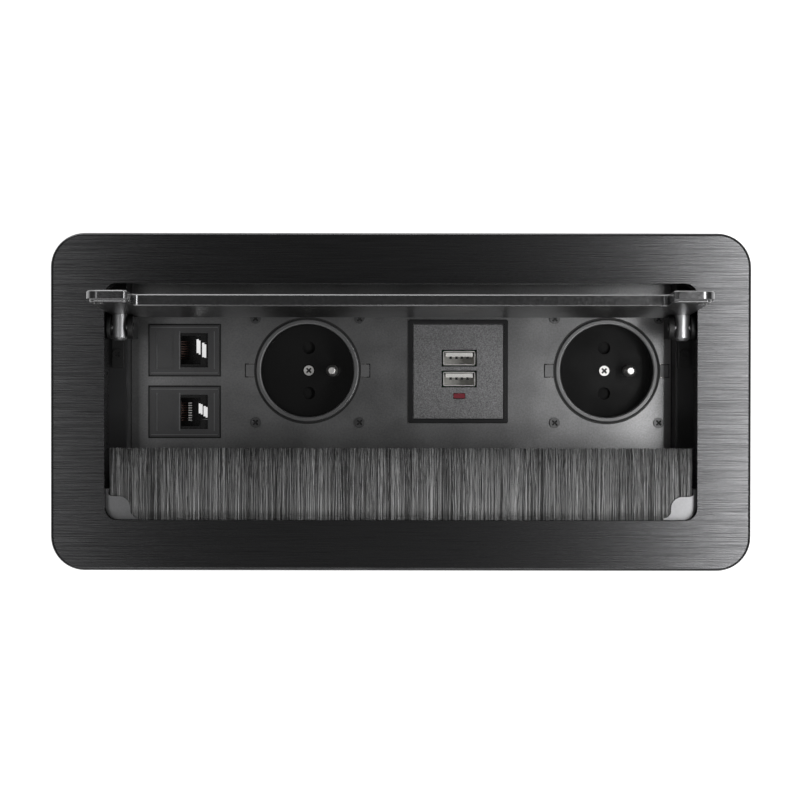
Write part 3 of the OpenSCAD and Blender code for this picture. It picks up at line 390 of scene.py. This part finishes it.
def bristles():
    """Strands laid side by side in a few layers, from the holder to slightly uneven tips."""
    chance = random.Random(7)
    work = bmesh.new()
    mark = work.loops.layers.uv.new("strand")
    low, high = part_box("brush_bristles")
    root = low.y + 0.0002
    length = high.y - root
    count = 1250
    layers = 3
    steps = 5
    for layer in range(layers):
        for number in range(count):
            across = low.x + (number + chance.uniform(0.1, 0.9)) / count * (high.x - low.x)
            across = min(max(across, low.x + 0.0004), high.x - 0.0004)
            lean = chance.gauss(0, 0.0007)
            wave = chance.gauss(0, 0.00008)
            turn = chance.uniform(0, 6.28)
            radius = chance.uniform(0.08, 0.135) * MM
            level = high.z - radius - (layer + chance.uniform(0, 0.9)) * 0.38 * MM
            level = max(level, low.z + radius)
            reach = length - abs(chance.gauss(0, 0.00035)) - layer * 0.0001
            tone = chance.random()
            path = []
            for step in range(steps):
                part = step / (steps - 1)
                x = across + lean * part * part + wave * math.sin(turn + 7 * part)
                path.append((min(max(x, low.x + radius), high.x - radius), root + reach * part, level))
            for face in strand(work, path, radius):
                for loop in face.loops:
                    loop[mark].uv = (tone, (loop.vert.co.y - root) / length)
    bmesh.ops.recalc_face_normals(work, faces=work.faces)
    mesh = bpy.data.meshes.new("bristle_strands")
    work.to_mesh(mesh)
    work.free()
    fibre = Finish("bristle_fibre")
    where = fibre.node("ShaderNodeTexCoord", output=2)
    tone = fibre.node("ShaderNodeSeparateXYZ", {}, {0: where}, 0)
    along = fibre.node("ShaderNodeSeparateXYZ", {}, {0: where}, 1)
    # Painted light: besides a random tone for each strand, the strands are painted lighter near the root,
    # against the plate's shadow there, and darker towards the tips.
    shade = fibre.ramp(tone * tone, 0.0, 1.0, 0.25, 2.6) * fibre.ramp(along, 0.0, 0.12, 2.6, 1.25)
    shade = shade * fibre.ramp(along, 0.1, 1.0, 1.15, 0.8)
    colour = fibre.tint((0.24, 0.24, 0.24), shade)
    fibre.feed(Base_Color=colour, Roughness=fibre.ramp(tone, 0, 1, 0.45, 0.6))
    mesh.materials.append(fibre.material)
    brush = bpy.data.objects.new("bristle_strands", mesh)
    bpy.context.scene.collection.objects.link(brush)
    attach(brush, frame["nodes"]["brush_bristles"]["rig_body"])
    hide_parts("brush_bristles")


def small_block(work, low, high):
    """Adds a box between two corners, in millimetres."""
    made = bmesh.ops.create_cube(work, size=1.0)["verts"]
    for corner in made:
        for axis in range(3):
            corner.co[axis] = (low[axis] if corner.co[axis] < 0 else high[axis]) * MM


def housing_piece(name, material, boxes):
    """Small plain boxes in one finish, fixed to the housing's body."""
    work = bmesh.new()
    for low, high in boxes:
        small_block(work, low, high)
    mesh = bpy.data.meshes.new(name)
    work.to_mesh(mesh)
    work.free()
    mesh.materials.append(material)
    piece = bpy.data.objects.new(name, mesh)
    bpy.context.scene.collection.objects.link(piece)
    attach(piece, frame["nodes"]["socket_panel"]["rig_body"])


def port_pads():
    """Dark contact pads in each charger port."""
    base = PANEL / MM - 0.7
    pads = []
    for level in LEVELS:
        port = middle(f"usb_{level}_shell") / MM
        for across in (-3.5, -1.1, 1.1, 3.5):
            x = port.x + across
            pads.append(((x - 0.5, port.y - 0.35, base), (x + 0.5, port.y + 0.65, base + 0.95)))
    housing_piece("port_contact_pads", black_and_painted_shade, pads)


def bezel_shadow_gaps():
    """A thin dark frame on the panel round each data bezel, a painted shadow in the gap round it."""
    wide = 0.65
    base = PANEL / MM + 0.01
    top = PANEL / MM + 0.08
    strips = []
    for level in LEVELS:
        low, high = [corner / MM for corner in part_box(f"data_{level}_bezel")]
        left = low.x - wide
        right = high.x + wide
        strips.append(((left, low.y - wide, base), (right, low.y, top)))
        strips.append(((left, high.y, base), (right, high.y + wide, top)))
        strips.append(((left, low.y, base), (low.x, high.y, top)))
        strips.append(((high.x, low.y, base), (right, high.y, top)))
    housing_piece("data_bezel_shadow_gaps", black_and_painted_shade, strips)


def bezel_highlight_lines():
    """Painted highlights: fine raised lines on each data bezel, beside its label field and window and along
    its long edges.
    """
    inset = 2.4
    lines = []
    for level in LEVELS:
        low, high = [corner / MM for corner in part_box(f"data_{level}_bezel")]
        base = high.z - 0.1
        for start, wide in ((2.9, 0.35), (12.2, 0.5), (26.6, 0.3)):
            x = low.x + start
            lines.append(((x, low.y + inset, base), (x + wide, high.y - inset, high.z + 0.05)))
        for y in (low.y + 0.7, high.y - 1.0):
            lines.append(((low.x + 0.6, y, base), (high.x - 0.6, y + 0.3, high.z + 0.03)))
    housing_piece("data_bezel_highlight_lines", satin_plate, lines)


def spring_bend_glints():
    """The bent tips of the lower data jack's eight contacts, in bright nickel as a painted glint."""
    low, high = [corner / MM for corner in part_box("data_lower_contacts")]
    base = PANEL / MM - 6.8
    count = 8
    tips = []
    for number in range(count):
        y = low.y + 0.2 + (high.y - low.y - 0.4) * number / (count - 1)
        tips.append(((high.x, y - 0.22, base), (high.x + 1.5, y + 0.22, base + 0.3)))
    housing_piece("data_spring_bend_glints", nickel_pin, tips)


def latch_slot_reflections():
    """The bright reflections in each data jack's open latch slots, painted as pale stepped strips that
    glow.

    A strip is given by its start and end, counted from the jack's right side, and by how far it reaches to
    the front and to the rear of the jack's middle, which tall scales.
    """
    base = PANEL / MM - 10.55
    strips = []
    for level, left, far, tall in (("upper", 7.1, 4.8, 1.0), ("lower", 6.2, 4.2, 0.72)):
        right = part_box(f"data_{level}_jack")[1].x / MM
        y = middle(f"data_{level}_jack").y / MM
        for start, end, front, rear in (
            (left, left - 0.9, 1.1, 4.6),
            (left - 0.9, left - 1.6, 1.7, 4.1),
            (far, far - 0.9, 2.8, 3.1),
            (far - 0.9, far - 1.7, 3.5, 2.5),
        ):
            near = (right - start, y - front * tall, base)
            strips.append((near, (right - end, y + rear * tall, base + 0.05)))
    housing_piece("jack_latch_slot_reflections", glowing_slot_reflection, strips)


def rim_shadow_gaps():
    """A thin dark ring on the panel round each mains socket, a painted shadow in the gap round its rim."""
    wide = 0.0007
    base = 0.00001
    top = 0.00008
    for side in ("left", "right"):
        low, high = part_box(f"socket_{side}_cup")
        centre = middle(f"socket_{side}_cup")
        inner = (high.y - low.y) / 2
        outer = inner + wide
        work = bmesh.new()
        profile = ((inner, base), (outer, base), (outer, top), (inner, top))
        corners = [work.verts.new((reach, 0, height)) for reach, height in profile]
        edges = [work.edges.new((corners[i], corners[(i + 1) % 4])) for i in range(4)]
        bmesh.ops.spin(work, geom=corners + edges, cent=(0, 0, 0), axis=(0, 0, 1), angle=2 * math.pi,
                       steps=96, use_merge=True)
        bmesh.ops.recalc_face_normals(work, faces=work.faces)
        bmesh.ops.translate(work, verts=work.verts, vec=(centre.x, centre.y, PANEL))
        mesh = bpy.data.meshes.new(f"socket_{side}_shadow_gap")
        work.to_mesh(mesh)
        work.free()
        mesh.materials.append(black_and_painted_shade)
        ring = bpy.data.objects.new(mesh.name, mesh)
        bpy.context.scene.collection.objects.link(ring)
        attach(ring, frame["nodes"]["socket_panel"]["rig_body"])


bristles()
port_pads()
bezel_shadow_gaps()
bezel_highlight_lines()
spring_bend_glints()
latch_slot_reflections()
rim_shadow_gaps()

# ---------------------------------------------------------------- floor, light and camera


def softbox(name, place, turn, width, depth, power):
    """A soft rectangular lamp: place counts from the plate's top, and turn is in degrees about X and Y."""
    data = bpy.data.lights.new(name, "AREA")
    data.shape = "RECTANGLE"
    data.size = width
    data.size_y = depth
    data.energy = power
    lamp = bpy.data.objects.new(name, data)
    lamp.location = (place[0], place[1], TOP + place[2])
    lamp.rotation_euler = (math.radians(turn[0]), math.radians(turn[1]), 0)
    bpy.context.scene.collection.objects.link(lamp)


def studio():
    """A pale glowing floor just under the box, a dim even surround and five soft lamps."""
    work = bmesh.new()
    bmesh.ops.create_grid(work, x_segments=1, y_segments=1, size=3.0)
    bmesh.ops.translate(work, verts=work.verts, vec=(0, 0, -0.0003))
    mesh = bpy.data.meshes.new("floor")
    work.to_mesh(mesh)
    work.free()
    floor = bpy.data.objects.new("floor", mesh)
    bpy.context.scene.collection.objects.link(floor)
    pale = Finish("pale_floor", Base_Color=(0.9, 0.9, 0.9), Roughness=0.8)
    pale.shader.inputs["Emission Color"].default_value = (1, 1, 1, 1)
    pale.shader.inputs["Emission Strength"].default_value = 0.85
    mesh.materials.append(pale.material)

    world = bpy.data.worlds.new("studio")
    bpy.context.scene.world = world
    world.use_nodes = True
    world.node_tree.nodes["Background"].inputs["Color"].default_value = (1, 1, 1, 1)
    world.node_tree.nodes["Background"].inputs["Strength"].default_value = 0.1

    softbox("key_right", (0.205, 0, 0.3), (0, 20), 0.07, 0.4, 0.8)
    softbox("fill_left", (-0.2, 0, 0.3), (0, -15), 0.05, 0.4, 0.09)
    softbox("front", (0, -0.5, 0.7), (35, 0), 0.8, 0.2, 1.1)
    softbox("back_low", (-0.25, 0.8, 0.09), (-90, 0), 0.8, 0.16, 2.0)
    softbox("front_low", (0, -0.8, 0.09), (90, 0), 1.0, 0.16, 0.7)


def camera():
    """Looks almost straight down, from slightly right of the middle and behind it."""
    data = bpy.data.cameras.new("camera")
    data.type = "PERSP"
    data.sensor_width = 36
    data.lens = 120.3
    data.clip_end = 20
    view = bpy.data.objects.new("camera", data)
    view.location = (0.0031, 0.014, TOP + 1.0605)
    view.rotation_euler = [math.radians(angle) for angle in (-0.712, 0.184, 0.07)]
    bpy.context.scene.collection.objects.link(view)
    bpy.context.scene.camera = view


studio()
camera()
bpy.context.scene.view_settings.view_transform = "Standard"
